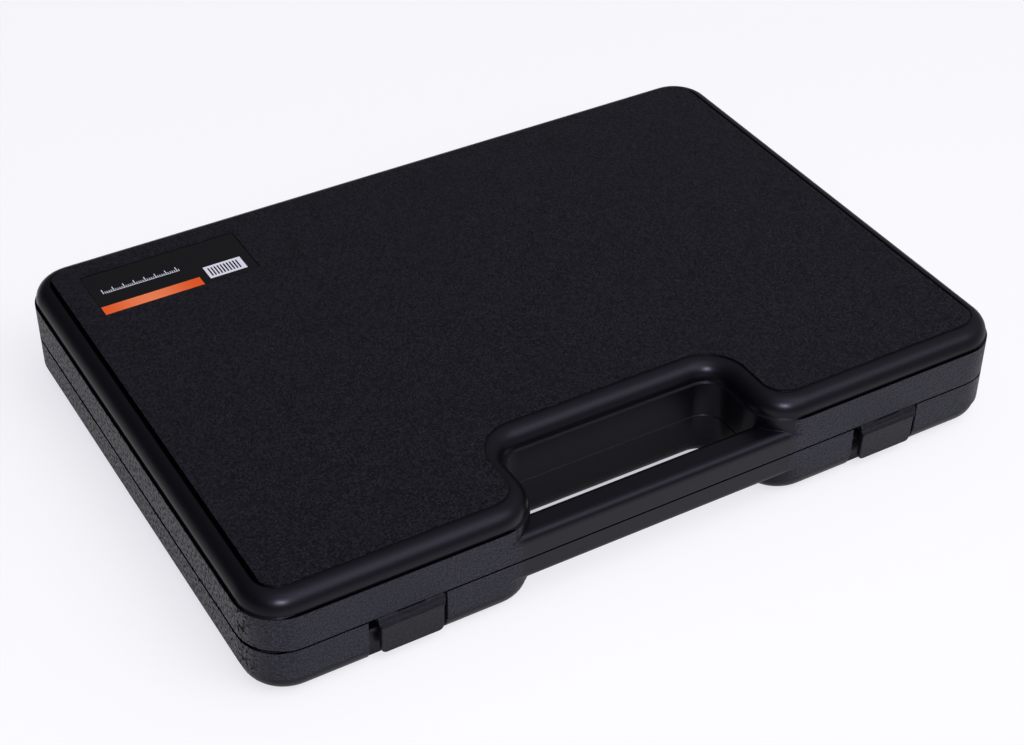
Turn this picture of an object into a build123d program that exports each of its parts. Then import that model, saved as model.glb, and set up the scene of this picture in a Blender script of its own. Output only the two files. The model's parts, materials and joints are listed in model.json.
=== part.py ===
from build123d import *
import os

# Moulded carrying case for a set of four outside micrometers. All sizes are in millimetres.
# +X runs along the front to the right, +Y to the hinges at the back, +Z up.
# The origin is the middle of the face that the closed case rests on.

# ---- The two moulded halves: alike in plan and edges, the base a little shallower ----
case_length = 360.0  # over the side walls
case_depth = 250.8  # over the front and back walls
lid_height = 26.9  # from the parting line to the top face
base_height = 24.7  # from the parting line to the face that the case rests on
corner_radius = 19.5  # convex corners in plan
wall = 2.5
skin = 2.5  # top and bottom panels
step_width = 0.45  # each of the two small steps between side wall and shoulder
step_height = 0.45
shoulder_foot = 0.4  # upright strip under the rolled shoulder
shoulder_radius = 7.5
panel_margin = 0.2  # flat strip between shoulder and panel
panel_rise = 0.9
panel_edge_radius = 0.35
cavity_radius = 6.5  # inside roll under the shoulder
parting_chamfer = 0.4  # broken outer edge of both halves at the parting line

# ---- Hand notch and the handle bar across its mouth ----
notch_width = 107.0
notch_depth = 41.4  # from the front wall to the back of the notch
notch_radius = 10.0  # the two inner corners
handle_width = 13.6  # front to back
handle_rise = 11.5  # each half of the bar, from the parting line
handle_radius = 3.6  # long outer edges
handle_channel_end = 54.0  # half length of the hollow inside the bar

# ---- Closing lip on the base, and its groove in the lid ----
lip_thickness = 1.2
lip_height = 1.8
lip_clearance = 0.2

# ---- Latch recesses, shelves and lugs ----
latch_spacing = 232.6  # between the middles of the two recesses
latch_shift = 1.7  # side play taken up to the right
recess_width = 34.5
recess_radius = 2.0  # inner corners of the recess in plan
recess_wall = 2.3
pocket_depth = 7.0  # upper part of the recess, where the latch turns
lower_depth = 4.4  # lower part of the recess, behind the latch plate; open at the bottom
rib_top = 7.2  # catch rib, below the parting line
rib_height = 1.8
rib_depth = 2.9  # from the front wall back to the tip of the rib
shelf_height = 3.5  # block in the lid that covers the recess
shelf_clearance = 0.3  # between the ends of the lip and the shelf

# ---- Latches: sizes from the front wall plane inwards, and from the parting line down ----
latch_side_room = 5.3  # both sides together, in the recess
latch_width = recess_width - latch_side_room
latch_waist = 27.6  # width below the ridge
latch_overhang = 4.8  # latch below the foot of the base's straight wall
latch_axis_depth = 2.0
latch_axis_drop = 2.7
barrel_radius = 2.4
groove_radius = 0.35  # fine line along the barrel
ridge_drop = 5.4
ridge_proud = 1.2
ridge_bevel = 0.6  # height of the bevel under the ridge
ridge_lean = 0.35  # slope of the concave strip where it runs out on the ridge
face_proud = 0.8  # upper end of the flat face
face_foot = 0.1  # lower end of the flat face
plate_back = 1.8
hook_depth = 3.9
hook_height = 1.6
hook_flank = 1.6  # height of the slope under the hook
hook_clearance = 0.15  # between hook and rib
latch_corner_radius = 2.4
latch_edge_radius = 0.5
lug_width = 12.0
lug_radius = 1.6
lug_neck = 2.2  # height of the arm from the pin to the post
lug_clearance = 0.2
slot_low_angle = -45.0  # the slot's two ends, round the pin from straight back
slot_high_angle = 127.0
slot_reach = 7.2  # from the pin to past the latch's back
post_front = 4.7
post_back = 6.3
latch_pin_radius = 0.8
latch_pin_length = 27.0

# ---- Back hinges ----
hinge_spacing = 220.0
knuckle_count = 5
knuckle_pitch = 10.0
knuckle_gap = 0.3  # between neighbours, and between knuckle and wall
knuckle_radius = 3.2
gusset_height = 7.0
gusset_root = 0.5  # how far the gusset reaches into the wall
hinge_pin_radius = 1.25

# ---- Fits of both kinds of pin ----
press_clearance = 0.02
running_clearance = 0.08

# ---- Label and its window in the lid ----
window_length = 74.2
window_width = 32.2
window_depth = 0.5
window_radius = 0.8
window_side_margin = 21.0  # from the left wall
window_back_margin = 18.8  # from the back wall
label_thickness = 0.2
label_clearance = 0.3

# ---- Foam: two layers in the base, a pad in the lid ----
foam_clearance = 0.3
base_layer_thickness = 6.0
tray_recess = 0.3  # top of the tray below the parting line
pad_over_shelf = 0.5
pad_clearance = shelf_height + pad_over_shelf  # from the parting line up to the pad

# ---- Pockets in the upper layer: a frame, and a straight part for sleeve and thimble ----
range_step = 25.0  # measuring range of one micrometer
smallest_frame = 60.0  # frame pocket of the 0 to 25 mm micrometer, along the spindle
smallest_throat = 34.0  # its depth below the spindle
throat_step = 12.0
spindle_margin = 10.0  # pocket above the spindle line
thimble_length = 80.0
thimble_width = 20.0
thimble_radius = 3.0
finger_radius = 13.0  # round finger well across the thimble
frame_radius = 20.0  # lower corners of the frame pocket
frame_top_radius = 5.0
standard_width = 11.0  # setting standards
standard_allowance = 8.0
accessory_length = 84.0
accessory_width = 34.0
accessory_radius = 6.0

# ---- Places of the pockets, from the outer faces of the side walls and of the back wall ----
frame_margin = 12.0  # side wall to the outer end of every frame pocket
spindle_line_0 = 134.4  # back wall to the spindle line of the 0 to 25 mm micrometer
spindle_line_1 = 105.4
spindle_line_2 = 57.4
spindle_line_3 = 20.4
standard_margin = 17.0  # right wall to the nearest ends of the setting standards
standard_gap = 9.0  # between the ends of the two standards in one row
back_row_line = 17.9  # back wall to the middle of the longest standard
front_row_line = 34.9
accessory_margin = 62.0  # side wall to the middle of either accessory pocket
left_accessory_line = 185.4
right_accessory_line = 191.4

# ---- Places worked out from the sizes above ----
front = -case_depth / 2
back = case_depth / 2
parting = Plane.XY.offset(base_height)
case_top = base_height + lid_height
shoulder_height = panel_rise + shoulder_radius + shoulder_foot + 2 * step_height
shoulder_inset = 2 * step_width
panel_inset = shoulder_inset + shoulder_radius + panel_margin
window_middle = (
    -case_length / 2 + window_side_margin + window_length / 2,
    back - window_back_margin - window_width / 2,
)
hinge_axis_y = back + knuckle_radius + knuckle_gap
recess_places = [-latch_spacing / 2, latch_spacing / 2]
latch_names = ["left", "right"]
groove_inset = wall - lip_thickness - lip_clearance
block_depth = pocket_depth + recess_wall
block_width = recess_width + 2 * recess_wall
rib_bottom = rib_top + rib_height
latch_height = base_height - shoulder_height + latch_overhang
# depth of the recess, and where each part starts and ends below the parting line
recess_levels = [
    (pocket_depth, 0, rib_top),
    (rib_depth, rib_top, rib_bottom),
    (lower_depth, rib_bottom, base_height),
]
hook_top = rib_bottom + hook_clearance
latch_axis = Vector(latch_axis_depth, -latch_axis_drop)
slot_corners = [
    latch_axis + Vector(slot_reach, 0).rotate(Axis.Z, angle)
    for angle in (slot_low_angle, (slot_low_angle + slot_high_angle) / 2, slot_high_angle)
]
knuckle_length = knuckle_pitch - knuckle_gap
hinge_length = knuckle_count * knuckle_pitch - knuckle_gap
hinge_places = [-hinge_spacing / 2, hinge_spacing / 2]
tray_top = base_height - tray_recess
tray_floor = skin + base_layer_thickness
# range number, side that the frame lies on, spindle line
micrometers = [
    (0, 1, back - spindle_line_0),
    (1, -1, back - spindle_line_1),
    (2, 1, back - spindle_line_2),
    (3, -1, back - spindle_line_3),
]
# length of the standard, right end of its pocket, middle line
standards_end = case_length / 2 - standard_margin
standards = [
    (3 * range_step, standards_end, back - back_row_line),
    (range_step, standards_end, back - front_row_line),
    (
        2 * range_step,
        standards_end - range_step - standard_allowance - standard_gap,
        back - front_row_line,
    ),
]
accessory_places = [
    (-case_length / 2 + accessory_margin, back - left_accessory_line),
    (case_length / 2 - accessory_margin, back - right_accessory_line),
]


def outline(inset):
    """Plan of the case moved inwards by inset: a rounded rectangle with the hand notch in its front."""
    with BuildSketch() as plan:
        Rectangle(case_length - 2 * inset, case_depth - 2 * inset)
        with Locations((0, front)):
            Rectangle(notch_width + 2 * inset, 2 * (notch_depth + inset), mode=Mode.SUBTRACT)
        # the notch's inner corners are the middle row of three
        fillet(plan.vertices().group_by(Axis.Y)[1], notch_radius + inset)
        rows = plan.vertices().group_by(Axis.Y)
        fillet(rows[0] + rows[-1], corner_radius - inset)
    return plan.sketch


def front_plane(x):
    """Upright plane across the front wall at x: first axis inwards, second axis up, from the parting line."""
    return Plane(origin=(x, front, base_height), x_dir=(0, 1, 0), z_dir=(1, 0, 0))


def hinge_plane(x):
    """Upright plane across a back hinge at x, with its origin on the hinge axis."""
    return Plane(origin=(x, hinge_axis_y, base_height), x_dir=(0, 1, 0), z_dir=(1, 0, 0))


def rod(x, plane_at, across, drop, radius, length):
    """Round rod along X about the middle x, in the plane function's coordinates."""
    with BuildPart() as piece:
        with BuildSketch(plane_at(x)):
            with Locations((across, drop)):
                Circle(radius)
        extrude(amount=length / 2, both=True)
    return piece.part


def knuckle(x, side):
    """One hinge knuckle with its gusset: side is 1 on the lid and -1 on the base."""
    reach = knuckle_radius + knuckle_gap
    with BuildPart() as piece:
        with BuildSketch(hinge_plane(x)):
            Circle(knuckle_radius)
            with BuildLine():
                Polyline(
                    (0, 0),
                    (-reach - gusset_root, 0),
                    (-reach - gusset_root, side * gusset_height),
                    (-reach, side * gusset_height),
                    (0, side * knuckle_radius),
                    close=True,
                )
            make_face()
        extrude(amount=knuckle_length / 2, both=True)
    return piece.part


def front_block(x, width, near, far, top, bottom):
    """Upright block behind the front wall: from near to far inwards, from top down to bottom."""
    with BuildPart() as piece:
        with BuildSketch(front_plane(x)):
            with Locations(((near + far) / 2, (top + bottom) / 2)):
                Rectangle(far - near, top - bottom)
        extrude(amount=width / 2, both=True)
    return piece.part


def solid_half(height):
    """Half of the case before it is hollowed, standing on the parting line, with its half of the bar."""
    wall_height = height - shoulder_height
    with BuildPart() as body:
        with BuildSketch(parting):
            add(outline(0))
        extrude(amount=wall_height)
        with BuildSketch(parting.offset(wall_height)):
            add(outline(step_width))
        extrude(amount=step_height)
        with BuildSketch(parting.offset(wall_height + step_height)):
            add(outline(shoulder_inset))
        extrude(amount=step_height + shoulder_foot + shoulder_radius)
        fillet(body.edges().group_by(Axis.Z)[-1], shoulder_radius)
        with BuildSketch(parting.offset(height - panel_rise)):
            add(outline(panel_inset))
        extrude(amount=panel_rise)
        fillet(body.edges().group_by(Axis.Z)[-1], panel_edge_radius)
    with BuildPart() as bar:
        with BuildSketch(parting):
            with Locations((0, front + handle_width / 2)):
                Rectangle(notch_width + 2 * corner_radius, handle_width)
        extrude(amount=handle_rise)
        fillet(bar.edges().group_by(Axis.Z)[-1].filter_by(Axis.X), handle_radius)
    with BuildPart() as half:
        add(body.part)
        add(bar.part)
        chamfer(half.edges().group_by(Axis.Z)[0], parting_chamfer)
    return half.part


def hollow_half(height):
    """The same half, hollow; the bar becomes a channel that opens at the parting line."""
    with BuildPart() as cavity:
        with BuildSketch(parting):
            add(outline(wall))
        extrude(amount=height - skin)
        fillet(cavity.edges().group_by(Axis.Z)[-1], cavity_radius)
    with BuildPart() as half:
        add(solid_half(height))
        add(cavity.part, mode=Mode.SUBTRACT)
        with BuildSketch(parting):
            with Locations((0, front + handle_width / 2)):
                Rectangle(2 * handle_channel_end, handle_width - 2 * wall)
        extrude(amount=handle_rise - wall, mode=Mode.SUBTRACT)
    return half.part


# ---- Each half before its fittings, the base turned over about the parting line ----
lid_half = hollow_half(lid_height)
base_half = mirror(hollow_half(base_height), about=parting)
base_block = mirror(solid_half(base_height), about=parting)

# ---- Lid ----
with BuildPart() as lid_shell:
    add(lid_half)
    # groove for the closing lip
    with BuildSketch(parting):
        add(outline(groove_inset))
    extrude(amount=lip_height + lip_clearance, mode=Mode.SUBTRACT)
    # label window
    with BuildSketch(Plane.XY.offset(case_top - window_depth)):
        with Locations(window_middle):
            RectangleRounded(window_length, window_width, window_radius)
    extrude(amount=window_depth, mode=Mode.SUBTRACT)
    # shelves over the latch recesses, and the lugs that carry the latch pins
    for x in recess_places:
        add(front_block(x, block_width, groove_inset / 2, block_depth, shelf_height, 0))
        with BuildSketch(front_plane(x + latch_shift)):
            with Locations((latch_axis_depth, -latch_axis_drop)):
                Circle(lug_radius)
            with Locations(((latch_axis_depth + post_back) / 2, -latch_axis_drop)):
                Rectangle(post_back - latch_axis_depth, lug_neck)
            with Locations(((post_front + post_back) / 2, -(latch_axis_drop + lug_neck / 2) / 2)):
                Rectangle(post_back - post_front, latch_axis_drop + lug_neck / 2)
        extrude(amount=lug_width / 2, both=True)
        add(
            rod(
                x + latch_shift,
                front_plane,
                latch_axis_depth,
                -latch_axis_drop,
                latch_pin_radius + press_clearance,
                lug_width,
            ),
            mode=Mode.SUBTRACT,
        )
    # every second knuckle of both hinges
    for x in hinge_places:
        for number in range(1, knuckle_count, 2):
            add(knuckle(x + (number - (knuckle_count - 1) / 2) * knuckle_pitch, 1))
        add(
            rod(x, hinge_plane, 0, 0, hinge_pin_radius + running_clearance, hinge_length),
            mode=Mode.SUBTRACT,
        )
lid_shell.part.label = "lid_shell"

# ---- Base ----
with BuildPart() as recess_blocks:
    for x in recess_places:
        add(front_block(x, block_width, 0, block_depth, 0, -base_height))
    add(base_block, mode=Mode.INTERSECT)

with BuildPart() as base_shell:
    add(base_half)
    # closing lip
    with BuildSketch(parting):
        add(outline(wall - lip_thickness))
        add(outline(wall), mode=Mode.SUBTRACT)
    extrude(amount=lip_height)
    # blocks that hold the latch recesses
    for x in recess_places:
        add(
            front_block(x, block_width + 2 * shelf_clearance, 0, block_depth, lip_height, 0),
            mode=Mode.SUBTRACT,
        )
    add(recess_blocks.part)
    for depth, top, bottom in recess_levels:
        with BuildSketch(parting.offset(-bottom)):
            with Locations(*[(x, front) for x in recess_places]):
                RectangleRounded(recess_width, 2 * depth, recess_radius)
        extrude(amount=bottom - top, mode=Mode.SUBTRACT)
    # first, third and fifth knuckle of both hinges
    for x in hinge_places:
        for number in range(0, knuckle_count, 2):
            add(knuckle(x + (number - (knuckle_count - 1) / 2) * knuckle_pitch, -1))
        add(
            rod(x, hinge_plane, 0, 0, hinge_pin_radius + press_clearance, hinge_length),
            mode=Mode.SUBTRACT,
        )
base_shell.part.label = "base_shell"

# ---- Pins ----
pins = []
for name, x in zip(latch_names, hinge_places):
    with BuildPart() as hinge_pin:
        add(rod(x, hinge_plane, 0, 0, hinge_pin_radius, hinge_length))
    hinge_pin.part.label = "hinge_pin_" + name
    pins.append(hinge_pin.part)
for name, x in zip(latch_names, recess_places):
    with BuildPart() as latch_pin:
        add(
            rod(
                x + latch_shift,
                front_plane,
                latch_axis_depth,
                -latch_axis_drop,
                latch_pin_radius,
                latch_pin_length,
            )
        )
    latch_pin.part.label = "latch_pin_" + name
    pins.append(latch_pin.part)

# ---- Latches ----
latches = []
for name, x in zip(latch_names, recess_places):
    plane = front_plane(x + latch_shift)
    barrel_front = latch_axis_depth - barrel_radius
    with BuildPart() as latch:
        # side profile: barrel, waist, ridge, flat face, hook
        with BuildSketch(plane):
            with Locations((latch_axis_depth, -latch_axis_drop)):
                Circle(barrel_radius)
            with BuildLine():
                Spline(
                    (barrel_front, -latch_axis_drop),
                    (-ridge_proud, -ridge_drop),
                    tangents=((0, -1), (-ridge_lean, -1)),
                )
                Polyline(
                    (-ridge_proud, -ridge_drop),
                    (-face_proud, -ridge_drop - ridge_bevel),
                    (-face_foot, -latch_height),
                    (plate_back, -latch_height),
                    (plate_back, -hook_top - hook_height - hook_flank),
                    (hook_depth, -hook_top - hook_height),
                    (hook_depth, -hook_top),
                    (plate_back, -hook_top),
                    (latch_axis_depth, -latch_axis_drop),
                    (barrel_front, -latch_axis_drop),
                )
            make_face()
        extrude(amount=latch_width / 2, both=True)
        # fine groove along the barrel
        with BuildSketch(plane):
            with Locations((barrel_front, -latch_axis_drop + groove_radius)):
                Circle(groove_radius)
        extrude(amount=latch_width / 2, both=True, mode=Mode.SUBTRACT)
        # front outline: full width at the barrel, narrower below the ridge, round lower corners
        with BuildSketch(Plane.XZ.offset(-front)) as face_outline:
            with BuildLine():
                Polyline(
                    (x + latch_shift - latch_width / 2, base_height),
                    (x + latch_shift + latch_width / 2, base_height),
                    (x + latch_shift + latch_width / 2, base_height - latch_axis_drop),
                    (x + latch_shift + latch_waist / 2, base_height - ridge_drop),
                    (x + latch_shift + latch_waist / 2, base_height - latch_height),
                    (x + latch_shift - latch_waist / 2, base_height - latch_height),
                    (x + latch_shift - latch_waist / 2, base_height - ridge_drop),
                    (x + latch_shift - latch_width / 2, base_height - latch_axis_drop),
                    close=True,
                )
            make_face()
            fillet(face_outline.vertices().group_by(Axis.Y)[0], latch_corner_radius)
        extrude(amount=block_depth, both=True, mode=Mode.INTERSECT)
        flat_face = latch.faces().filter_by(lambda face: face.area > latch_waist * latch_height / 2)
        rim = flat_face.sort_by(Axis.Y)[0].edges().sort_by(Axis.Z)[:-1]
        fillet(rim, latch_edge_radius)
        # slot for the lug: round the pin, and open to the back and the top
        with BuildSketch(plane):
            with Locations((latch_axis_depth, -latch_axis_drop)):
                Circle(lug_radius + lug_clearance)
            with BuildLine():
                Polyline(latch_axis, *slot_corners, close=True)
            make_face()
        extrude(amount=lug_width / 2 + lug_clearance, both=True, mode=Mode.SUBTRACT)
        add(
            rod(
                x + latch_shift,
                front_plane,
                latch_axis_depth,
                -latch_axis_drop,
                latch_pin_radius + running_clearance,
                latch_width,
            ),
            mode=Mode.SUBTRACT,
        )
    latch.part.label = "latch_" + name
    latches.append(latch.part)

# ---- Label ----
with BuildPart() as label:
    with BuildSketch(Plane.XY.offset(case_top - window_depth)):
        with Locations(window_middle):
            RectangleRounded(
                window_length - 2 * label_clearance,
                window_width - 2 * label_clearance,
                window_radius,
            )
    extrude(amount=label_thickness)
label.part.label = "label"

# ---- Foam ----
with BuildPart() as tray_room:
    with BuildSketch(Plane.XY.offset(skin)):
        add(outline(wall + foam_clearance))
    extrude(amount=tray_top - skin)
    fillet(tray_room.edges().group_by(Axis.Z)[0], cavity_radius)
    # clear of the blocks behind the latch recesses
    for x in recess_places:
        add(
            front_block(
                x,
                block_width + 2 * foam_clearance,
                0,
                block_depth + foam_clearance,
                0,
                -base_height,
            ),
            mode=Mode.SUBTRACT,
        )

with BuildPart() as tray_base_layer:
    add(tray_room.part)
    split(bisect_by=Plane.XY.offset(tray_floor), keep=Keep.BOTTOM)
tray_base_layer.part.label = "tray_base_layer"


def frame_pocket(number):
    """Pocket of the frame of micrometer number: small corners above, large corners below."""
    with BuildSketch() as pocket:
        Rectangle(
            smallest_frame + number * range_step,
            spindle_margin + smallest_throat + number * throat_step,
        )
        rows = pocket.vertices().group_by(Axis.Y)
        fillet(rows[0], frame_radius)
        fillet(pocket.vertices().group_by(Axis.Y)[-1], frame_top_radius)
    return pocket.sketch


with BuildPart() as tray_pocket_layer:
    add(tray_room.part)
    split(bisect_by=Plane.XY.offset(tray_floor), keep=Keep.TOP)
    with BuildSketch(Plane.XY.offset(tray_floor)):
        for number, side, spindle_y in micrometers:
            frame_end = side * (case_length / 2 - frame_margin)
            width = smallest_frame + number * range_step
            throat = smallest_throat + number * throat_step
            with Locations((frame_end - side * width / 2, spindle_y + (spindle_margin - throat) / 2)):
                add(frame_pocket(number))
            thimble_middle = frame_end - side * (width + thimble_length / 2)
            with Locations((thimble_middle + side * thimble_width / 2, spindle_y)):
                RectangleRounded(thimble_length + thimble_width, thimble_width, thimble_radius)
            with Locations((thimble_middle, spindle_y)):
                Circle(finger_radius)
        for length, right_end, middle_y in standards:
            with Locations((right_end - (length + standard_allowance) / 2, middle_y)):
                RectangleRounded(length + standard_allowance, standard_width, thimble_radius)
        with Locations(*accessory_places):
            RectangleRounded(accessory_length, accessory_width, accessory_radius)
    extrude(amount=tray_top - tray_floor, mode=Mode.SUBTRACT)
tray_pocket_layer.part.label = "tray_pocket_layer"

with BuildPart() as lid_pad:
    with BuildSketch(parting.offset(pad_clearance)):
        add(outline(wall + foam_clearance))
    extrude(amount=lid_height - skin - pad_clearance)
    fillet(lid_pad.edges().group_by(Axis.Z)[-1], cavity_radius)
lid_pad.part.label = "lid_pad"

# ---- One file for each piece ----
os.makedirs("parts", exist_ok=True)
pieces = [
    base_shell.part,
    lid_shell.part,
    label.part,
    tray_base_layer.part,
    tray_pocket_layer.part,
    lid_pad.part,
]
for piece in pieces + pins + latches:
    export_step(piece, "parts/" + piece.label + ".step")
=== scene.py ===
import json
import math

import bmesh
import bpy
import numpy as np
from mathutils import Matrix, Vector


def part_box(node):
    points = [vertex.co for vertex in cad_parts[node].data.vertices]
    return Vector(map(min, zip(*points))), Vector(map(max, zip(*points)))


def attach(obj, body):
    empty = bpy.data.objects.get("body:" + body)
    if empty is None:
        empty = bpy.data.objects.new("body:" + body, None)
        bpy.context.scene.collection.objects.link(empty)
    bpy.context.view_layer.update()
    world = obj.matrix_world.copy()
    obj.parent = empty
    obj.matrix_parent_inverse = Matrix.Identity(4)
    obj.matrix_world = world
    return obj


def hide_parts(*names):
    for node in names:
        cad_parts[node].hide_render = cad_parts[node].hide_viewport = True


bl_info = {
    "name": "Micrometer case",
    "version": (1, 0, 0),
    "blender": (4, 5, 0),
    "location": "View3D > Sidebar > Case",
    "description": "Dresses the moulded micrometer case and sets up its studio",
    "category": "Object",
}

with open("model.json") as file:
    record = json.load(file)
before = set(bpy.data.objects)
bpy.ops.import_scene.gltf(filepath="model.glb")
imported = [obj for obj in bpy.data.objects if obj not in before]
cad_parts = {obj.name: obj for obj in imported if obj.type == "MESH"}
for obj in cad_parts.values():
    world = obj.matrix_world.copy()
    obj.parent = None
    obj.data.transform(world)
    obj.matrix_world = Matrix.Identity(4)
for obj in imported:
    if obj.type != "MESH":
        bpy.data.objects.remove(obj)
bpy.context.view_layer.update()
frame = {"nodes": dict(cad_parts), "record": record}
MM = 0.001
CASE_TOP = float(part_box("lid_shell")[1][2])
CASE_SIDE = float(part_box("lid_shell")[1][0])
PARTING = float(frame["record"]["behaviour"]["joints"][0]["pos_m"][2])
CASE_FRONT = float(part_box("lid_shell")[0][1])
LABEL_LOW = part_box("label")[0]


# ---- Places on the moulded halves ----
# In each pair a mask is 0 at the first place and whole at the second. Heights are taken
# inward from the nearer panel: its shoulder ends at 8.4 mm, and two small steps at 9.7 mm.

CORNER_RADIUS = 17 * MM  # of the walls, seen from above
OUTER_SKIN = (CORNER_RADIUS - 1.2 * MM, CORNER_RADIUS - 1.0 * MM)
PANEL_FACE = (0.5 * MM, 0.2 * MM)
STRAIGHT_WALL = (9.7 * MM, 9.9 * MM)
BESIDE_HANDLE = (62 * MM, 70 * MM)  # sideways from the middle
BEHIND_HANDLE = (-82 * MM, -78 * MM)  # from front to back
SIDE_WALL = (CASE_SIDE - 4 * MM, CASE_SIDE - 1 * MM)
SIDE_SHOULDER = (CASE_SIDE - 14 * MM, CASE_SIDE - 9 * MM)
# painted shade along the joint between the halves, wider on the sides
JOINT_LINE = (0.5 * MM, 0.3 * MM)  # above and below the parting
SIDE_JOINT_EXTRA = 0.5 * MM
# painted shade on the edge round each panel, fainter in front than on the sides
CREST_TOP = (0.15 * MM, 0.4 * MM)
CREST_BOTTOM = (0.97 * MM, 0.92 * MM)
FRONT_CREST_SHARE = 0.35
PANEL_RIM = (CASE_SIDE - 9.9 * MM, CASE_SIDE - 9.5 * MM)
# painted shade on the foot of each shoulder, which starts higher on the sides
FOOT_TOP = (8.45 * MM, 8.75 * MM)
SIDE_FOOT_TOP = (6.9 * MM, 8.4 * MM)
FOOT_BOTTOM = (9.75 * MM, 9.68 * MM)
# the first of the two small steps, where a painted highlight takes back part of the foot's
# painted shade
STEP_TOP = (8.86 * MM, 8.92 * MM)
STEP_BOTTOM = (9.24 * MM, 9.18 * MM)
STEP_LIGHT = 0.6


# ---- The plastic's finish ----

PLASTIC_IOR = 1.5
ABS_GLOSS = 0.25
ABS_TINT = (0.86, 0.84, 1.0, 1.0)
SMOOTH_ROUGHNESS = 0.33
GRAIN_ROUGHNESS = 0.42
# roughness and near-black colour of the painted shade in the joint, crests and feet
PAINTED_SHADE_ROUGHNESS = 0.9
PAINTED_SHADE_COLOUR = "#020203"
# painted glints: noise specks that make the grain's colour paler in places and its gloss
# uneven
GLINT_SIZE = 0.8 * MM
GLINT_STRETCH = (1.0, 0.6, 1.0)
SIDE_GLINT_SIZE = 1.5 * MM
GLINT_RAMP = (0.4, 0.62)
GLINT_MEAN = 0.4
SIDE_PALER_LESS = 0.6
PANEL_GLOSS_SPREAD = 0.16
SIDE_GLOSS_SPREAD = 0.6
BEVEL_SAMPLES = 6
EDGE_RADIUS = 0.6 * MM
LATCH_EDGE_RADIUS = 0.8 * MM
LATCH_PEBBLE = 1.2 * MM
LATCH_RELIEF = 0.15 * MM
# painted glints on the latches: where their specks start and end
LATCH_GLINT_RAMP = (0.42, 0.62)
LATCH_GLOSS = 0.24


# ---- The label's print ----
# Left, right, low and high edge of each block, in millimetres from the label's corner.

BAND = (0.4, 47.0, 0.4, 6.6)
# the painted highlight on the band: its middle and how far it fades
BAND_HIGHLIGHT_MIDDLE, BAND_HIGHLIGHT_FADE = 22 * MM, 24 * MM
SCALE_LINE = (6, 41.4, 15.6, 15.9)
SHORT_MARKS = (6, 41.4, 15.6, 17.2)  # one at each millimetre
LONG_MARKS = (5, 41.4, 15.6, 19.0)  # one at each fifth millimetre
BAR_FIELD = (51.0, 69.0, 3.0, 12.5)
BARS = (52.5, 67.5, 4.5, 11.0)


# ---- The foams ----

WELD = 0.002 * MM
TRAY_CELL, TRAY_CELL_DEPTH = 0.5 * MM, 0.06 * MM
PAD_CELL, PAD_CELL_DEPTH = 0.7 * MM, 0.12 * MM
PAD_VOXEL = 2.5 * MM
PAD_RIM_FADE = 12 * MM


# ---- The studio ----

LAMP_COLOUR = (0.91, 0.9, 1.0)
AIM_HEIGHT = 0.03
FLOOR_SIDES = 96
FLOOR_DROP = 0.01 * MM
# from the case's walls outward, where the paper's glow changes
NEAR_SHADE = (-6 * MM, 12 * MM)
MIDDLE_GLOW = (100 * MM, 400 * MM)
SIDE_GLOW = (5 * MM, 70 * MM)
FAR_GLOW = (0.6, 4.0)
ROOM_SIDE = (0.35, -0.3, 0.85)
ROOM_WRAP, ROOM_REACH = 0.1, 1.05
ROOM_LIGHT, LEAST_ROOM_LIGHT = 0.74, 0.012
MIRRORED_SHARE = 0.06
HORIZON = (0.04, 0.0)


# ---- Colours ----


def linear(hex_colour):
    """sRGB hex value, such as #0b0b10, to linear RGBA."""
    channels = np.array([int(hex_colour[i : i + 2], 16) for i in (1, 3, 5)]) / 255
    low = channels / 12.92
    high = ((channels + 0.055) / 1.055) ** 2.4
    return (*np.where(channels <= 0.04045, low, high).tolist(), 1.0)


def add_node(tree, kind, inputs=None, **settings):
    """Adds one node with its settings. An input is a value or the socket that feeds it."""
    node = tree.nodes.new(kind)
    for name, value in settings.items():
        setattr(node, name, value)
    for key, value in (inputs or {}).items():
        if isinstance(value, bpy.types.NodeSocket):
            tree.links.new(value, node.inputs[key])
        else:
            node.inputs[key].default_value = value
    return node


# ---- Sizes and colours that a user would change ----


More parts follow.
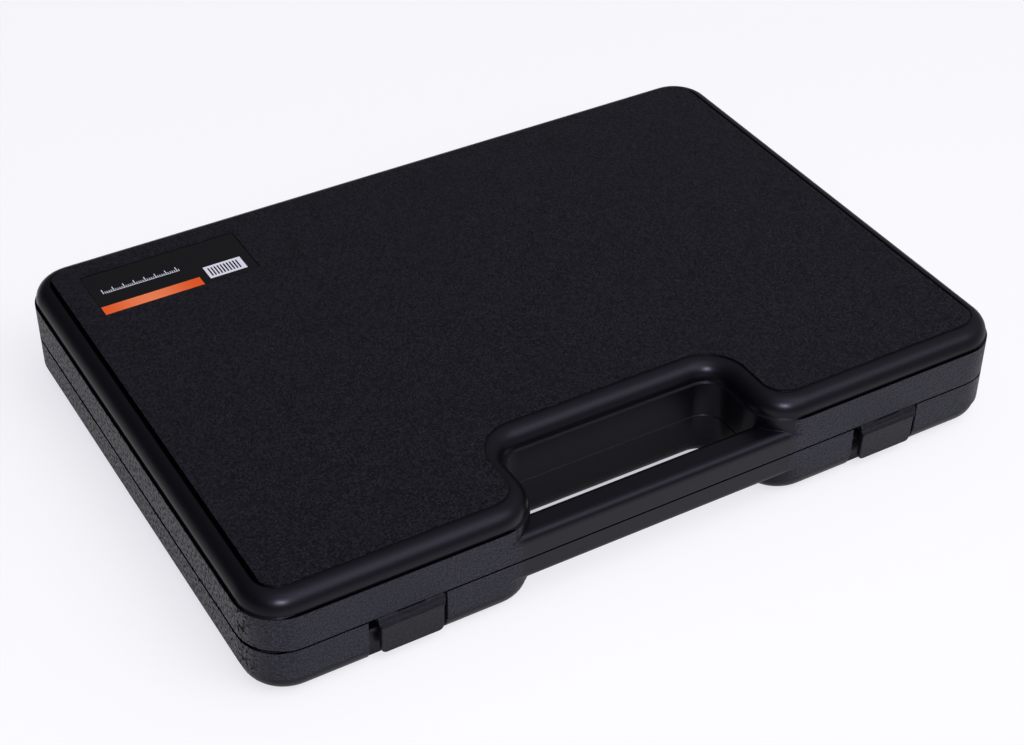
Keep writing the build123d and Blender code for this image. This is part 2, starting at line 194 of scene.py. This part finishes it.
class CaseFinish(bpy.types.PropertyGroup):
    """Colours and surface grain of the case's own pieces."""

    abs_colour: bpy.props.StringProperty(
        name="Case plastic",
        description="sRGB colour of the black ABS",
        default="#06060a",
    )
    # painted glints: colour of the pale specks over the panels' grain
    panel_glints: bpy.props.StringProperty(
        name="Panel grain tops",
        description="sRGB colour of the panels' grain on its tops",
        default="#15151b",
    )
    # painted glints: colour of the pale specks over the walls' pebbles
    wall_glints: bpy.props.StringProperty(
        name="Wall grain tops",
        description="sRGB colour of the walls' pebbles on their tops",
        default="#2c2c38",
    )
    orange: bpy.props.StringProperty(
        name="Label band",
        description="sRGB colour of the label's band",
        default="#ec5a1c",
    )
    print_white: bpy.props.StringProperty(
        name="Label print",
        description="sRGB colour of the label's pale print",
        default="#e4e4ea",
    )
    tray_colour: bpy.props.StringProperty(
        name="Tray foam",
        description="sRGB colour of the tray's foam",
        default="#1c1c20",
    )
    pad_colour: bpy.props.StringProperty(
        name="Pad foam",
        description="sRGB colour of the lid's pad",
        default="#2a2a2f",
    )
    panel_grain: bpy.props.FloatProperty(
        name="Panel grain",
        description="Mean width of one leather cell on the panels",
        default=1.2 * MM,
        unit="LENGTH",
    )
    wall_grain: bpy.props.FloatProperty(
        name="Wall grain",
        description="Mean width of one pebble on the side walls",
        default=1.1 * MM,
        unit="LENGTH",
    )
    panel_depth: bpy.props.FloatProperty(
        name="Panel grain depth",
        description="Height of the panels' leather grain",
        default=0.35 * MM,
        unit="LENGTH",
    )
    wall_depth: bpy.props.FloatProperty(
        name="Wall grain depth",
        description="Height of the side walls' pebbles",
        default=0.6 * MM,
        unit="LENGTH",
    )
    foam_rim: bpy.props.FloatProperty(
        name="Foam rim",
        description="Radius that cutting leaves on the foam's edges",
        default=0.6 * MM,
        unit="LENGTH",
    )
    crate_pitch: bpy.props.FloatProperty(
        name="Egg-crate pitch",
        description="Distance between neighbouring peaks of the lid's pad",
        default=32 * MM,
        unit="LENGTH",
    )
    crate_depth: bpy.props.FloatProperty(
        name="Egg-crate depth",
        description="Height from the valleys to the peaks of the lid's pad",
        default=9 * MM,
        unit="LENGTH",
    )


class CaseStudio(bpy.types.PropertyGroup):
    """Camera, lamps and floor round the case."""

    camera_place: bpy.props.FloatVectorProperty(
        name="Camera",
        description="Place of the camera",
        default=(-0.36733, -0.63209, 0.58242),
        subtype="TRANSLATION",
        unit="LENGTH",
    )
    camera_heading: bpy.props.FloatProperty(
        name="Heading",
        description="Turn of the camera from the front view",
        default=math.radians(-30.358),
        subtype="ANGLE",
    )
    camera_dip: bpy.props.FloatProperty(
        name="Dip",
        description="Angle of the camera below the horizon",
        default=math.radians(38.123),
        subtype="ANGLE",
    )
    camera_roll: bpy.props.FloatProperty(
        name="Roll",
        description="Turn of the camera about its own line of sight",
        default=math.radians(0.308),
        subtype="ANGLE",
    )
    lens: bpy.props.FloatProperty(
        name="Lens",
        description="Focal length on a 36 mm sensor",
        default=71.85,
    )
    key_radiance: bpy.props.FloatProperty(
        name="Key lamp",
        description="Brightness of the small softbox beside the camera",
        default=88.0,
    )
    front_radiance: bpy.props.FloatProperty(
        name="Front lamp",
        description="Brightness of the large softbox in front",
        default=1.8,
    )
    top_radiance: bpy.props.FloatProperty(
        name="Top lamp",
        description="Brightness of the large softbox overhead",
        default=0.9,
    )
    floor_colour: bpy.props.StringProperty(
        name="Floor",
        description="sRGB colour of the paper floor",
        default="#b8b8ad",
    )
    floor_glow: bpy.props.StringProperty(
        name="Floor light",
        description="sRGB colour of the light that comes through the paper",
        default="#c3c3cb",
    )
    floor_radius: bpy.props.FloatProperty(
        name="Floor radius",
        description="Radius of the paper floor",
        default=12.0,
        unit="LENGTH",
    )


# ---- Materials ----


def new_material(name):
    """An empty node material, with its output and the object's own coordinates."""
    material = bpy.data.materials.new(name)
    material.use_nodes = True
    tree = material.node_tree
    tree.nodes.clear()
    output = add_node(tree, "ShaderNodeOutputMaterial")
    place = add_node(tree, "ShaderNodeTexCoord").outputs["Object"]
    return material, tree, output, place


def finish_material(tree, output, settings):
    """Principled shader with these sockets, on the material's surface."""
    shader = add_node(tree, "ShaderNodeBsdfPrincipled", settings)
    tree.links.new(shader.outputs[0], output.inputs["Surface"])
    return shader


def ramp(tree, value, start, end, low=0.0, high=1.0):
    """Smooth step of a value: low at start, high at end."""
    return add_node(
        tree,
        "ShaderNodeMapRange",
        {"Value": value, "From Min": start, "From Max": end, "To Min": low, "To Max": high},
        interpolation_type="SMOOTHSTEP",
    ).outputs["Result"]


def maths(tree, operation, first, second=0.0):
    """One operation on two values."""
    return add_node(
        tree, "ShaderNodeMath", {0: first, 1: second}, operation=operation
    ).outputs[0]


def product(tree, result, *factors):
    """All the values multiplied."""
    for factor in factors:
        result = maths(tree, "MULTIPLY", result, factor)
    return result


def greatest(tree, result, *values):
    """The greatest of the values."""
    for value in values:
        result = maths(tree, "MAXIMUM", result, value)
    return result


def past(tree, coordinate, limit):
    """How far a coordinate lies past a limit, on either side of the middle."""
    return maths(tree, "SUBTRACT", maths(tree, "ABSOLUTE", coordinate), limit)


def mix_values(tree, first, second, share):
    """From the first value to the second as the share goes from 0 to 1."""
    return add_node(
        tree, "ShaderNodeMix", {2: first, 3: second, 0: share}, data_type="FLOAT"
    ).outputs[0]


def mix_colours(tree, first, second, share):
    """From the first colour to the second as the share goes from 0 to 1."""
    return add_node(
        tree, "ShaderNodeMix", {6: first, 7: second, 0: share}, data_type="RGBA"
    ).outputs[2]


def noise(tree, place, size, detail, roughness=0.5):
    """Cloudy noise from 0 to 1, whose largest features are this size."""
    return add_node(
        tree,
        "ShaderNodeTexNoise",
        {"Vector": place, "Scale": 1 / size, "Detail": detail, "Roughness": roughness},
    ).outputs["Fac"]


def voronoi_distance(tree, place, size, feature):
    """Distance inside cells of this size, in cells."""
    return add_node(
        tree, "ShaderNodeTexVoronoi", {"Vector": place, "Scale": 1 / size}, feature=feature
    ).outputs["Distance"]


def bump(tree, height, distance, strength=1.0, edge_radius=0.0):
    """Normal of a relief. With an edge radius, sharp edges look rounded too."""
    relief = {"Strength": strength, "Distance": distance, "Height": height}
    if edge_radius:
        edge = add_node(tree, "ShaderNodeBevel", {"Radius": edge_radius})
        edge.samples = BEVEL_SAMPLES
        relief["Normal"] = edge.outputs[0]
    return add_node(tree, "ShaderNodeBump", relief).outputs[0]


def leather_height(tree, place, cell):
    """Fine leather: small irregular plateaus with creases between them."""
    plateaus = ramp(tree, noise(tree, place, cell, detail=4.0, roughness=0.62), 0.36, 0.62)
    edges = voronoi_distance(tree, place, cell / 0.9, "DISTANCE_TO_EDGE")
    return maths(tree, "ADD", plateaus, product(tree, ramp(tree, edges, 0.0, 0.2), 0.5))


def pebble_height(tree, place, pebble):
    """Rounded pebbles with noise over them, as spark erosion leaves in a mould."""
    cells = voronoi_distance(tree, place, pebble, "SMOOTH_F1")
    fine = noise(tree, place, pebble / 1.6, detail=3.0)
    return maths(tree, "SUBTRACT", product(tree, fine, 1.2), product(tree, cells, 0.6))


def case_zones(tree, place):
    """Masks from 0 to 1 for the halves' faces, and the coordinates they come from."""
    axes = add_node(tree, "ShaderNodeSeparateXYZ", {"Vector": place})
    x, y, z = (axes.outputs[name] for name in "XYZ")
    off_middle = maths(tree, "ABSOLUTE", x)
    inward = maths(tree, "MINIMUM", z, maths(tree, "SUBTRACT", CASE_TOP, z))
    # how far out a point lies in a rounded rectangle: the radius is the outer skin
    along = greatest(tree, past(tree, x, CASE_SIDE - CORNER_RADIUS), 0.0)
    across = greatest(tree, past(tree, y, -CASE_FRONT - CORNER_RADIUS), 0.0)
    squares = maths(tree, "ADD", product(tree, along, along), product(tree, across, across))
    outside = ramp(tree, maths(tree, "SQRT", squares), *OUTER_SKIN)
    # the handle and the corners beside it are smooth
    beside, behind = ramp(tree, off_middle, *BESIDE_HANDLE), ramp(tree, y, *BEHIND_HANDLE)
    off_handle = greatest(tree, beside, behind)
    on_wall = product(tree, ramp(tree, inward, *STRAIGHT_WALL), outside, off_handle)
    return dict(
        off_middle=off_middle,
        height=z,
        inward=inward,
        outside=outside,
        on_panel=ramp(tree, inward, *PANEL_FACE),
        on_wall=on_wall,
        on_side_wall=product(tree, ramp(tree, off_middle, *SIDE_WALL), on_wall),
        on_side=ramp(tree, off_middle, *SIDE_SHOULDER),
    )


def case_painted_shade(tree, zones):
    """Masks of painted shade where no light comes back: the joint, the panels' crests and the
    shoulders' feet.
    """
    from_joint = maths(tree, "ABSOLUTE", maths(tree, "SUBTRACT", zones["height"], PARTING))
    widened = product(tree, zones["on_side"], SIDE_JOINT_EXTRA)
    joint = ramp(tree, maths(tree, "SUBTRACT", from_joint, widened), *JOINT_LINE)
    crest = product(
        tree,
        ramp(tree, zones["inward"], *CREST_TOP),
        ramp(tree, zones["inward"], *CREST_BOTTOM),
        greatest(tree, zones["on_side"], FRONT_CREST_SHARE),
    )
    # painted shade: along the sides the panel's last millimetre is as dark
    rim = product(tree, zones["on_panel"], ramp(tree, zones["off_middle"], *PANEL_RIM))
    foot = product(
        tree,
        greatest(
            tree,
            ramp(tree, zones["inward"], *FOOT_TOP),
            product(tree, ramp(tree, zones["inward"], *SIDE_FOOT_TOP), zones["on_side"]),
        ),
        ramp(tree, zones["inward"], *FOOT_BOTTOM),
        zones["outside"],
    )
    # the first of the two small steps catches some light, painted as a highlight that takes
    # back part of the painted shade
    first_step = product(
        tree,
        ramp(tree, zones["inward"], *STEP_TOP),
        ramp(tree, zones["inward"], *STEP_BOTTOM, high=STEP_LIGHT),
    )
    foot = maths(tree, "SUBTRACT", foot, first_step)
    return greatest(tree, product(tree, joint, zones["outside"]), crest, rim, foot)


def moulded_abs(finish):
    """Black injection-moulded ABS: leathery panels, pebbled walls, satin elsewhere, with
    painted glints on the grain and painted shade in the joint, crests and feet.
    """
    material, tree, output, place = new_material("abs_moulded_black")
    zones = case_zones(tree, place)
    # painted shade in the joint, the panels' crests and the shoulders' feet
    painted_shade = case_painted_shade(tree, zones)
    grained = greatest(tree, zones["on_panel"], zones["on_wall"])
    leather = leather_height(tree, place, finish.panel_grain)
    pebbles = pebble_height(tree, place, finish.wall_grain)
    relief = maths(
        tree,
        "ADD",
        product(tree, leather, zones["on_panel"], finish.panel_depth / MM),
        product(tree, pebbles, zones["on_wall"], finish.wall_depth / MM),
    )

    # painted glints: specks from a noise of their own make the grain's colour paler in places
    drawn = add_node(tree, "ShaderNodeMapping", {"Vector": place, "Scale": GLINT_STRETCH})
    glint_noise = noise(tree, drawn.outputs[0], GLINT_SIZE, detail=2.0, roughness=0.6)
    side_glint_noise = noise(tree, place, SIDE_GLINT_SIZE, detail=2.0, roughness=0.6)
    mixed = mix_values(tree, glint_noise, side_glint_noise, zones["on_side_wall"])
    glint_mask = ramp(tree, mixed, *GLINT_RAMP)
    less = product(tree, zones["on_side_wall"], SIDE_PALER_LESS)
    paler = maths(tree, "SUBTRACT", zones["on_wall"], less)
    tops = mix_colours(tree, linear(finish.panel_glints), linear(finish.wall_glints), paler)
    painted_glints = mix_colours(tree, linear(finish.abs_colour), tops, product(tree, glint_mask, grained))

    # gloss: the same on all smooth faces, uneven with the painted glints on the grain, and
    # none in the grooves' painted shade
    unevenness = maths(
        tree,
        "ADD",
        product(tree, zones["on_panel"], PANEL_GLOSS_SPREAD),
        product(tree, zones["on_side_wall"], SIDE_GLOSS_SPREAD),
    )
    uneven = product(tree, maths(tree, "SUBTRACT", glint_mask, GLINT_MEAN), unevenness)
    gloss = product(
        tree, maths(tree, "ADD", uneven, ABS_GLOSS), maths(tree, "SUBTRACT", 1.0, painted_shade)
    )
    matt = ramp(tree, grained, 0.0, 1.0, low=SMOOTH_ROUGHNESS, high=GRAIN_ROUGHNESS)
    finish_material(
        tree,
        output,
        {
            # painted shade: the joint, crests and feet take a near-black colour
            "Base Color": mix_colours(tree, painted_glints, linear(PAINTED_SHADE_COLOUR), painted_shade),
            "Roughness": greatest(tree, matt, product(tree, painted_shade, PAINTED_SHADE_ROUGHNESS)),
            "IOR": PLASTIC_IOR,
            "Specular IOR Level": gloss,
            "Specular Tint": ABS_TINT,
            "Normal": bump(tree, relief, MM, edge_radius=EDGE_RADIUS),
        },
    )
    return material


def latch_plastic(finish):
    """Black ABS of the latches: finely eroded, satin, with painted glints."""
    material, tree, output, place = new_material("abs_latch_black")
    # painted glints: specks from a noise make the latches' colour paler in places
    glint_noise = noise(tree, place, LATCH_PEBBLE, detail=3.0, roughness=0.6)
    painted_glints = ramp(tree, glint_noise, *LATCH_GLINT_RAMP)
    pebbles = pebble_height(tree, place, LATCH_PEBBLE)
    finish_material(
        tree,
        output,
        {
            "Base Color": mix_colours(
                tree, linear(finish.abs_colour), linear(finish.panel_glints), painted_glints
            ),
            "Roughness": GRAIN_ROUGHNESS,
            "IOR": PLASTIC_IOR,
            "Specular IOR Level": LATCH_GLOSS,
            "Specular Tint": ABS_TINT,
            "Normal": bump(tree, pebbles, LATCH_RELIEF, edge_radius=LATCH_EDGE_RADIUS),
        },
    )
    return material


def pin_steel():
    """Drawn carbon steel wire: bright, with fine marks along its length."""
    material, tree, output, place = new_material("drawn_steel")
    stretched = add_node(
        tree, "ShaderNodeMapping", {"Vector": place, "Scale": (0.04, 1.0, 1.0)}
    )
    marks = noise(tree, stretched.outputs[0], 0.12 * MM, detail=3.0)
    finish_material(
        tree,
        output,
        {
            "Base Color": linear("#b4b2ae"),
            "Metallic": 1.0,
            "Roughness": ramp(tree, marks, 0.2, 0.8, low=0.22, high=0.38),
            "Normal": bump(tree, marks, 0.004 * MM),
        },
    )
    return material


def printed_film(finish):
    """Glossy printed film: black ground, orange band with a painted highlight, scale marks
    and a block of bars.
    """
    material, tree, output, place = new_material("printed_polyester_film")
    axes = add_node(tree, "ShaderNodeSeparateXYZ", {"Vector": place})
    across = maths(tree, "SUBTRACT", axes.outputs["X"], float(LABEL_LOW[0]))
    up = maths(tree, "SUBTRACT", axes.outputs["Y"], float(LABEL_LOW[1]))

    def inside(value, low, high):
        return product(
            tree,
            maths(tree, "GREATER_THAN", value, low * MM),
            maths(tree, "LESS_THAN", value, high * MM),
        )

    def block(x0, x1, y0, y1):
        return product(tree, inside(across, x0, x1), inside(up, y0, y1))

    def every(pitch, width):
        """1 on upright lines of this width, repeated at this pitch."""
        phase = maths(tree, "FRACT", maths(tree, "DIVIDE", across, pitch * MM))
        return maths(tree, "LESS_THAN", phase, width / pitch)

    marks = greatest(
        tree,
        block(*SCALE_LINE),
        greatest(
            tree,
            product(tree, block(*SHORT_MARKS), every(pitch=1.0, width=0.3)),
            product(tree, block(*LONG_MARKS), every(pitch=5.0, width=0.4)),
        ),
    )
    bars = product(tree, block(*BARS), every(pitch=1.5, width=0.75))
    pale = greatest(tree, marks, maths(tree, "SUBTRACT", block(*BAR_FIELD), bars))
    # painted highlight: the band is a little lighter near its middle
    from_middle = maths(tree, "ABSOLUTE", maths(tree, "SUBTRACT", across, BAND_HIGHLIGHT_MIDDLE))
    middle = ramp(tree, from_middle, BAND_HIGHLIGHT_FADE, 0.0, low=0.0, high=0.6)
    band_with_highlight = mix_colours(tree, linear(finish.orange), linear("#ff9a66"), middle)
    with_band = mix_colours(tree, linear("#060608"), band_with_highlight, block(*BAND))
    finish_material(
        tree,
        output,
        {
            "Base Color": mix_colours(tree, with_band, linear(finish.print_white), pale),
            "Roughness": 0.16,
            "IOR": PLASTIC_IOR,
            "Specular IOR Level": 0.35,
            "Normal": bump(tree, noise(tree, place, 9 * MM, detail=1.0), 0.03 * MM),
        },
    )
    return material


def cell_foam(name, colour, pore, depth):
    """Foam whose open or cut cells show as dark pits between pale webs; the pits' darkness is
    painted shade.
    """
    material, tree, output, place = new_material(name)
    pores = voronoi_distance(tree, place, pore, "SMOOTH_F1")
    cloud = noise(tree, place, 14 * MM, detail=3.0)
    # painted shade in the pits: they keep the dark colour, and the webs between them are
    # paler
    web = ramp(tree, pores, 0.15, 0.55)
    dark = linear(colour)
    light = tuple(min(1.0, 1.8 * channel) for channel in dark)
    finish_material(
        tree,
        output,
        {
            "Base Color": mix_colours(tree, dark, light, product(tree, web, cloud)),
            "Roughness": 0.92,
            "IOR": 1.45,
            "Specular IOR Level": 0.2,
            "Sheen Weight": 0.15,
            "Sheen Roughness": 0.6,
            "Normal": bump(tree, pores, depth),
        },
    )
    return material


def mirrored_rays(tree, path):
    """1 for rays that metal, glass or gloss sends on."""
    glossy, through = path.outputs["Is Glossy Ray"], path.outputs["Is Transmission Ray"]
    return greatest(tree, glossy, through)


def studio_paper(studio):
    """White paper sweep, lit from above and from behind, white where no shadow falls."""
    material, tree, output, place = new_material("studio_paper")
    fibre = bump(tree, noise(tree, place, 0.8 * MM, detail=3.0), 0.01 * MM, strength=0.2)
    paper = add_node(
        tree, "ShaderNodeBsdfDiffuse", {"Color": linear(studio.floor_colour), "Normal": fibre}
    )
    axes = add_node(tree, "ShaderNodeSeparateXYZ", {"Vector": place})
    x, y = axes.outputs["X"], axes.outputs["Y"]
    beside = greatest(tree, past(tree, x, CASE_SIDE), past(tree, y, -CASE_FRONT))
    # painted shade: reflections show the paper's glow dimmer close to the case and in its
    # hand hole, and less light through the paper away from the middle of the table
    clear = product(
        tree,
        ramp(tree, beside, *NEAR_SHADE, low=0.3),
        ramp(tree, beside, *MIDDLE_GLOW, low=1.0, high=0.2),
        ramp(tree, past(tree, x, CASE_SIDE), *SIDE_GLOW, low=1.0, high=0.1),
    )
    path = add_node(tree, "ShaderNodeLightPath")
    # far from the lamps more light comes through, so the paper is as white there
    far = ramp(tree, beside, *FAR_GLOW, low=1.0, high=1.65)
    seen = greatest(
        tree,
        product(tree, path.outputs["Is Camera Ray"], far),
        product(tree, mirrored_rays(tree, path), clear),
    )
    glow = add_node(
        tree, "ShaderNodeEmission", {"Color": linear(studio.floor_glow), "Strength": seen}
    )
    both = add_node(tree, "ShaderNodeAddShader", {0: paper.outputs[0], 1: glow.outputs[0]})
    tree.links.new(both.outputs[0], output.inputs["Surface"])
    return material


def cover(node, material):
    """Puts one material on every slot of a CAD node."""
    piece = frame["nodes"][node]
    if not piece.material_slots:
        piece.data.materials.append(material)
    for place in piece.material_slots:
        place.material = material


# ---- Pieces ----


def welded_copy(node, name):
    """Copies a CAD node's mesh, with loose triangles merged and flat faces made whole."""
    mesh = frame["nodes"][node].data.copy()
    mesh.name = name
    work = bmesh.new()
    work.from_mesh(mesh)
    bmesh.ops.remove_doubles(work, verts=work.verts, dist=WELD)
    bmesh.ops.dissolve_limit(
        work, angle_limit=math.radians(1.0), verts=work.verts, edges=work.edges
    )
    work.to_mesh(mesh)
    work.free()
    mesh.materials.clear()
    piece = bpy.data.objects.new(name, mesh)
    bpy.context.scene.collection.objects.link(piece)
    return piece


class CASE_OT_mould_shells(bpy.types.Operator):
    """Gives both halves of the case their grained black ABS"""

    bl_idname = "case.mould_shells"
    bl_label = "Mould the shells"

    def execute(self, context):
        material = moulded_abs(context.scene.case_finish)
        cover("lid_shell", material)
        cover("base_shell", material)
        return {"FINISHED"}


class CASE_OT_mould_latches(bpy.types.Operator):
    """Gives the two latches their satin ABS"""

    bl_idname = "case.mould_latches"
    bl_label = "Mould the latches"

    def execute(self, context):
        material = latch_plastic(context.scene.case_finish)
        cover("latch_left", material)
        cover("latch_right", material)
        return {"FINISHED"}


class CASE_OT_press_pins(bpy.types.Operator):
    """Gives the hinge pins and latch pins their drawn steel"""

    bl_idname = "case.press_pins"
    bl_label = "Press in the pins"

    def execute(self, context):
        material = pin_steel()
        for pin in ("hinge_pin", "latch_pin"):
            cover(f"{pin}_left", material)
            cover(f"{pin}_right", material)
        return {"FINISHED"}


class CASE_OT_print_label(bpy.types.Operator):
    """Prints the label's plain design on its film"""

    bl_idname = "case.print_label"
    bl_label = "Print the label"

    def execute(self, context):
        cover("label", printed_film(context.scene.case_finish))
        return {"FINISHED"}


class CASE_OT_cut_tray(bpy.types.Operator):
    """Cuts the two foam layers of the tray, with soft edges"""

    bl_idname = "case.cut_tray"
    bl_label = "Cut the foam tray"

    def execute(self, context):
        finish = context.scene.case_finish
        material = cell_foam("eva_foam_cut", finish.tray_colour, TRAY_CELL, TRAY_CELL_DEPTH)
        layers = (("tray_pocket_layer", "tray_pockets"), ("tray_base_layer", "tray_floor"))
        for node, name in layers:
            piece = welded_copy(node, name)
            piece.data.materials.append(material)
            rim = piece.modifiers.new("cut_edge", "BEVEL")
            rim.width = finish.foam_rim
            rim.segments = 3
            rim.limit_method = "ANGLE"
            rim.angle_limit = math.radians(40)
            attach(piece, "base")
            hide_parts(node)
        return {"FINISHED"}


class CASE_OT_form_lid_pad(bpy.types.Operator):
    """Forms the lid's egg-crate pad, which holds the instruments down"""

    bl_idname = "case.form_lid_pad"
    bl_label = "Form the lid pad"

    def execute(self, context):
        finish = context.scene.case_finish
        piece = welded_copy("lid_pad", "lid_egg_crate_pad")
        remesh = piece.modifiers.new("skin", "REMESH")
        remesh.mode = "VOXEL"
        remesh.voxel_size = PAD_VOXEL
        remesh.use_smooth_shade = True
        skinned = bpy.data.meshes.new_from_object(
            piece.evaluated_get(context.evaluated_depsgraph_get())
        )
        piece.modifiers.clear()
        piece.data = skinned
        points = np.empty(len(skinned.vertices) * 3)
        skinned.vertices.foreach_get("co", points)
        points = points.reshape(-1, 3)
        low, high = (np.array(corner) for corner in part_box("lid_pad"))
        # egg crate: peaks and valleys are a product of two cosines, and fade at the rim
        turn = 2 * math.pi / finish.crate_pitch
        wave = 0.5 - 0.5 * np.cos(turn * points[:, 0]) * np.cos(turn * points[:, 1])
        rim = np.minimum(
            np.minimum(points[:, 0] - low[0], high[0] - points[:, 0]),
            np.minimum(points[:, 1] - low[1], high[1] - points[:, 1]),
        )
        rim = np.clip(rim / PAD_RIM_FADE, 0, 1)
        deep = np.clip((high[2] - points[:, 2]) / (high[2] - low[2]), 0, 1)
        points[:, 2] += finish.crate_depth * wave * rim * deep**2
        points = np.clip(points, low, high)
        skinned.vertices.foreach_set("co", points.ravel())
        skinned.update()
        piece.data.materials.append(
            cell_foam("pu_foam_convoluted", finish.pad_colour, PAD_CELL, PAD_CELL_DEPTH)
        )
        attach(piece, "lid")
        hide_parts("lid_pad")
        return {"FINISHED"}


def softbox(name, azimuth, elevation, distance, width, depth, radiance):
    """Rectangular lamp that faces the case. Power is radiance times pi times area."""
    lamp = bpy.data.lights.new(name, "AREA")
    lamp.shape = "RECTANGLE"
    lamp.size, lamp.size_y = width, depth
    lamp.energy = radiance * math.pi * width * depth
    lamp.color = LAMP_COLOUR
    turn, lift = math.radians(azimuth), math.radians(elevation)
    aim = Matrix.Translation((0, 0, AIM_HEIGHT))
    swing = Matrix.Rotation(turn + math.pi / 2, 4, "Z")
    swing = swing @ Matrix.Rotation(math.pi / 2 - lift, 4, "X")
    light = bpy.data.objects.new(name, lamp)
    light.matrix_world = aim @ swing @ Matrix.Translation((0, 0, distance))
    bpy.context.scene.collection.objects.link(light)
    return light


class CASE_OT_set_stage(bpy.types.Operator):
    """Lays the paper floor and sets the lamps, the world and the camera"""

    bl_idname = "case.set_stage"
    bl_label = "Set the stage"

    def execute(self, context):
        studio = context.scene.case_studio
        turns = np.linspace(0, 2 * math.pi, FLOOR_SIDES, endpoint=False)
        drop = np.full_like(turns, -FLOOR_DROP / studio.floor_radius)
        rim = np.stack([np.cos(turns), np.sin(turns), drop], axis=1)
        mesh = bpy.data.meshes.new("paper_floor")
        corners = (rim * studio.floor_radius).tolist()
        mesh.from_pydata(corners, [], [list(range(FLOOR_SIDES))])
        mesh.materials.append(studio_paper(studio))
        floor = bpy.data.objects.new("paper_floor", mesh)
        context.scene.collection.objects.link(floor)

        softbox("key_softbox", -113, 38, 4.5, 0.66, 0.66, studio.key_radiance)
        softbox("front_softbox", -62, 47, 5.4, 3.9, 2.7, studio.front_radiance)
        softbox("top_softbox", -80, 72, 5.4, 3.6, 2.7, studio.top_radiance)

        world = bpy.data.worlds.new("studio_air")
        world.use_nodes = True
        tree = world.node_tree
        tree.nodes.clear()
        sky = add_node(tree, "ShaderNodeTexCoord").outputs["Generated"]
        lift = add_node(tree, "ShaderNodeSeparateXYZ", {"Vector": sky}).outputs["Z"]
        # the room's light: a broad glow overhead and to the right
        facing = add_node(
            tree, "ShaderNodeVectorMath", {0: sky, 1: ROOM_SIDE}, operation="DOT_PRODUCT"
        ).outputs["Value"]
        glow = maths(tree, "DIVIDE", maths(tree, "ADD", facing, ROOM_WRAP), ROOM_REACH)
        glow = greatest(tree, glow, 0.0)
        room = maths(tree, "ADD", product(tree, glow, glow, ROOM_LIGHT), LEAST_ROOM_LIGHT)
        # white behind everything, which reflections show dimly, and as white as the paper
        # at the horizon
        path = add_node(tree, "ShaderNodeLightPath")
        from_camera = path.outputs["Is Camera Ray"]
        mirrored = product(tree, mirrored_rays(tree, path), MIRRORED_SHARE)
        seen = greatest(tree, from_camera, mirrored)
        low_down = greatest(tree, ramp(tree, lift, *HORIZON), seen)
        colour = mix_colours(tree, linear("#f2f1ff"), (1.0, 1.0, 1.0, 1.0), from_camera)
        strength = mix_values(tree, room, 1.0, low_down)
        background = add_node(
            tree, "ShaderNodeBackground", {"Color": colour, "Strength": strength}
        )
        out = add_node(tree, "ShaderNodeOutputWorld", {"Surface": background.outputs[0]})
        out.is_active_output = True
        context.scene.world = world

        lens = bpy.data.cameras.new("camera")
        lens.sensor_fit = "HORIZONTAL"
        lens.sensor_width = 36
        lens.lens = studio.lens
        camera = bpy.data.objects.new("camera", lens)
        camera.matrix_world = (
            Matrix.Translation(studio.camera_place)
            @ Matrix.Rotation(studio.camera_heading, 4, "Z")
            @ Matrix.Rotation(math.pi / 2 - studio.camera_dip, 4, "X")
            @ Matrix.Rotation(studio.camera_roll, 4, "Z")
        )
        context.scene.collection.objects.link(camera)
        context.scene.camera = camera
        context.scene.view_settings.view_transform = "Standard"
        return {"FINISHED"}


OPERATORS = (
    CASE_OT_mould_shells,
    CASE_OT_mould_latches,
    CASE_OT_press_pins,
    CASE_OT_print_label,
    CASE_OT_cut_tray,
    CASE_OT_form_lid_pad,
    CASE_OT_set_stage,
)


class CASE_PT_sidebar(bpy.types.Panel):
    """Lists the case's sizes, colours and steps"""

    bl_idname = "CASE_PT_sidebar"
    bl_label = "Micrometer case"
    bl_space_type = "VIEW_3D"
    bl_region_type = "UI"
    bl_category = "Case"

    def draw(self, context):
        for group in (context.scene.case_finish, context.scene.case_studio):
            box = self.layout.box()
            for name in group.__annotations__:
                box.prop(group, name)
        for operator in OPERATORS:
            self.layout.operator(operator.bl_idname)


CLASSES = (CaseFinish, CaseStudio, *OPERATORS, CASE_PT_sidebar)


def register():
    for kind in CLASSES:
        bpy.utils.register_class(kind)
    bpy.types.Scene.case_finish = bpy.props.PointerProperty(type=CaseFinish)
    bpy.types.Scene.case_studio = bpy.props.PointerProperty(type=CaseStudio)


def unregister():
    del bpy.types.Scene.case_studio
    del bpy.types.Scene.case_finish
    for kind in reversed(CLASSES):
        bpy.utils.unregister_class(kind)


def main():
    """Registers the classes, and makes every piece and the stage."""
    register()
    bpy.ops.case.mould_shells()
    bpy.ops.case.mould_latches()
    bpy.ops.case.press_pins()
    bpy.ops.case.print_label()
    bpy.ops.case.cut_tray()
    bpy.ops.case.form_lid_pad()
    bpy.ops.case.set_stage()


if __name__ == "__main__":
    main()
